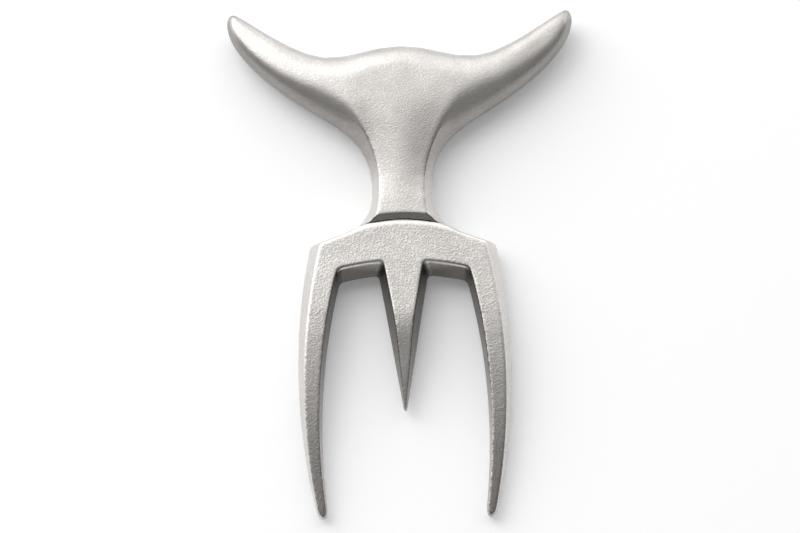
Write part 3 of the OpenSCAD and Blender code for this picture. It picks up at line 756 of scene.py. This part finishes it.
class MEATFORK_OT_studio(bpy.types.Operator):
    """Sets the floor, the light and the camera"""

    bl_idname = "meatfork.studio"
    bl_label = "Studio"

    def execute(self, context):
        settings = context.scene.meat_fork.studio
        self.floor(context.scene, settings)
        self.room(context.scene, settings)
        self.key(context.scene, settings)
        self.camera(context.scene, settings)
        context.scene.view_settings.view_transform = "Standard"
        return {"FINISHED"}

    def floor(self, scene, settings):
        half = settings.floor_size / 2
        mesh = bpy.data.meshes.new("floor")
        corners = [(x * half, y * half, 0.0) for x, y in ((-1, -1), (1, -1), (1, 1), (-1, 1))]
        mesh.from_pydata(corners, [], [(0, 1, 2, 3)])
        material, tree, shader = new_material("floor_paper")
        shader.inputs["Base Color"].default_value = opaque(settings.floor_colour)
        shader.inputs["Roughness"].default_value = FLOOR_ROUGHNESS
        shader.inputs["Specular IOR Level"].default_value = 0.0
        shader.inputs["Emission Color"].default_value = WHITE
        path = tree.nodes.new("ShaderNodeLightPath").outputs
        seen = math_node(tree, "MAXIMUM", path["Is Camera Ray"], path["Is Glossy Ray"])
        seen = math_node(tree, "MAXIMUM", seen, path["Is Transmission Ray"])
        glow = math_node(tree, "MULTIPLY", seen, settings.floor_glow)
        tree.links.new(glow, shader.inputs["Emission Strength"])
        mesh.materials.append(material)
        floor = bpy.data.objects.new("floor", mesh)
        scene.collection.objects.link(floor)

    def room(self, scene, settings):
        world = bpy.data.worlds.new("room")
        world.use_nodes = True
        scene.world = world
        tree = world.node_tree
        way = tree.nodes.new("ShaderNodeTexCoord").outputs["Generated"]
        way = add_node(tree, "ShaderNodeSeparateXYZ", {"Vector": way}).outputs
        reach, lean = settings.side_reach, settings.side_lean
        facing = math_node(tree, "ADD", way["Y"], map_range(tree, way["X"], -reach, reach, lean, -lean))
        level = map_range(tree, facing, *settings.room_edge, settings.room_dark, settings.room_light)
        background = tree.nodes["Background"]
        background.inputs["Color"].default_value = WHITE
        tree.links.new(level, background.inputs["Strength"])

    def key(self, scene, settings):
        lamp = bpy.data.lights.new("key", "AREA")
        lamp.energy = settings.key_power
        lamp.size = settings.key_size
        key = bpy.data.objects.new("key", lamp)
        key.location = settings.key_place
        key.rotation_mode = "QUATERNION"
        key.rotation_quaternion = (-Vector(settings.key_place)).to_track_quat("-Z", "Y")
        scene.collection.objects.link(key)

    def camera(self, scene, settings):
        data = bpy.data.cameras.new("camera")
        data.sensor_width = SENSOR_WIDTH_MM
        data.lens = settings.focal_px * SENSOR_WIDTH_MM / PHOTO_WIDTH_PX
        camera = bpy.data.objects.new("camera", data)
        back = Vector((0.0, -math.sin(settings.tilt), math.cos(settings.tilt)))
        right = Vector((1.0, 0.0, 0.0))
        up = back.cross(right)
        turned_right = right * math.cos(settings.roll) - up * math.sin(settings.roll)
        turned_up = right * math.sin(settings.roll) + up * math.cos(settings.roll)
        turn = Matrix((turned_right, turned_up, back)).transposed().to_4x4()
        camera.matrix_world = Matrix.Translation(Vector(settings.aim) + back * settings.distance) @ turn
        scene.collection.objects.link(camera)
        scene.camera = camera


STEPS = (MEATFORK_OT_handle, MEATFORK_OT_head, MEATFORK_OT_pins, MEATFORK_OT_studio)


class MEATFORK_PT_panel(bpy.types.Panel):
    """Lists the fork's settings and steps"""

    bl_idname = "MEATFORK_PT_panel"
    bl_label = "Meat Fork"
    bl_space_type = "VIEW_3D"
    bl_region_type = "UI"
    bl_category = "Meat Fork"

    def draw(self, context):
        settings = context.scene.meat_fork
        for step, group in zip(STEPS, (settings.handle, settings.head, settings.pins, settings.studio)):
            box = self.layout.box()
            box.operator(step.bl_idname)
            for name in group.bl_rna.properties.keys():
                if name not in {"rna_type", "name"}:
                    box.prop(group, name)


CLASSES = (
    HandleSettings,
    HeadSettings,
    PinSettings,
    StudioSettings,
    MeatForkSettings,
    *STEPS,
    MEATFORK_PT_panel,
)


def register():
    for item in CLASSES:
        bpy.utils.register_class(item)
    bpy.types.Scene.meat_fork = PointerProperty(type=MeatForkSettings)


def unregister():
    del bpy.types.Scene.meat_fork
    for item in reversed(CLASSES):
        bpy.utils.unregister_class(item)


def main():
    register()
    bpy.ops.meatfork.handle()
    bpy.ops.meatfork.head()
    bpy.ops.meatfork.pins()
    bpy.ops.meatfork.studio()


if __name__ == "__main__":
    main()
